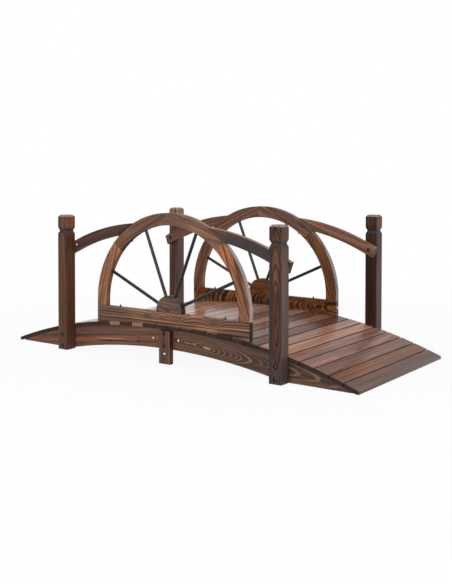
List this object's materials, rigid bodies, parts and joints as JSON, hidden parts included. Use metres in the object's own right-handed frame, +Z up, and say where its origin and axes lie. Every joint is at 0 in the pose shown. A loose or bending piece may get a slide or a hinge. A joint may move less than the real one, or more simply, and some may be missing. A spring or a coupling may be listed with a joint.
{
  "type": "arched garden bridge",
  "caption": "Small arched plank bridge of dark-stained wood with posts, curved rails and half wagon-wheel railings on both sides.",
  "frame": {"origin": "on the ground under the middle of the deck", "axes": "+X along the walkway, +Y across it, +Z up"},
  "size_m": [1.52, 0.765, 0.546],
  "materials": {
    "post_wood": "charred and dark-stained softwood, satin, brushed grain",
    "stringer_wood": "dark-stained softwood, satin, bold flame grain",
    "leg_wood": "dark-stained softwood, satin",
    "rail_wood": "dark-stained softwood, satin",
    "rim_wood": "dark-stained softwood, satin",
    "wheel_base_wood": "dark-stained softwood, satin, bold flame grain",
    "hub_wood": "dark-stained softwood, satin",
    "deck_wood": "red-brown stained softwood, satin, boards differ in tone",
    "spoke_metal": "black painted steel rod, satin"
  },
  "bodies": {
    "root": {"deck_board_left_01": "deck_wood", "deck_board_left_02": "deck_wood", "deck_board_left_03": "deck_wood", "deck_board_left_04": "deck_wood", "deck_board_left_05": "deck_wood", "deck_board_left_06": "deck_wood", "deck_board_left_07": "deck_wood", "deck_board_left_08": "deck_wood", "deck_board_left_09": "deck_wood", "deck_board_left_10": "deck_wood", "deck_board_left_11": "deck_wood", "deck_board_left_12": "deck_wood", "deck_board_left_13": "deck_wood", "deck_board_left_14": "deck_wood", "deck_board_right_01": "deck_wood", "deck_board_right_02": "deck_wood", "deck_board_right_03": "deck_wood", "deck_board_right_04": "deck_wood", "deck_board_right_05": "deck_wood", "deck_board_right_06": "deck_wood", "deck_board_right_07": "deck_wood", "deck_board_right_08": "deck_wood", "deck_board_right_09": "deck_wood", "deck_board_right_10": "deck_wood", "deck_board_right_11": "deck_wood", "deck_board_right_12": "deck_wood", "deck_board_right_13": "deck_wood", "deck_board_right_14": "deck_wood", "hub_back": "hub_wood", "hub_front": "hub_wood", "joint_plate_back": "stringer_wood", "joint_plate_front": "stringer_wood", "middle_leg_back": "leg_wood", "middle_leg_front": "leg_wood", "post_back_left": "post_wood", "post_back_right": "post_wood", "post_front_left": "post_wood", "post_front_right": "post_wood", "rail_back_left": "rail_wood", "rail_back_right": "rail_wood", "rail_front_left": "rail_wood", "rail_front_right": "rail_wood", "rim_felloe_1_back": "rim_wood", "rim_felloe_1_front": "rim_wood", "rim_felloe_2_back": "rim_wood", "rim_felloe_2_front": "rim_wood", "rim_felloe_3_back": "rim_wood", "rim_felloe_3_front": "rim_wood", "rim_felloe_4_back": "rim_wood", "rim_felloe_4_front": "rim_wood", "spokes_back": "spoke_metal", "spokes_front": "spoke_metal", "stringer_back_left": "stringer_wood", "stringer_back_right": "stringer_wood", "stringer_front_left": "stringer_wood", "stringer_front_right": "stringer_wood", "wheel_base_back": "wheel_base_wood", "wheel_base_front": "wheel_base_wood"}
  },
  "joints": []
}
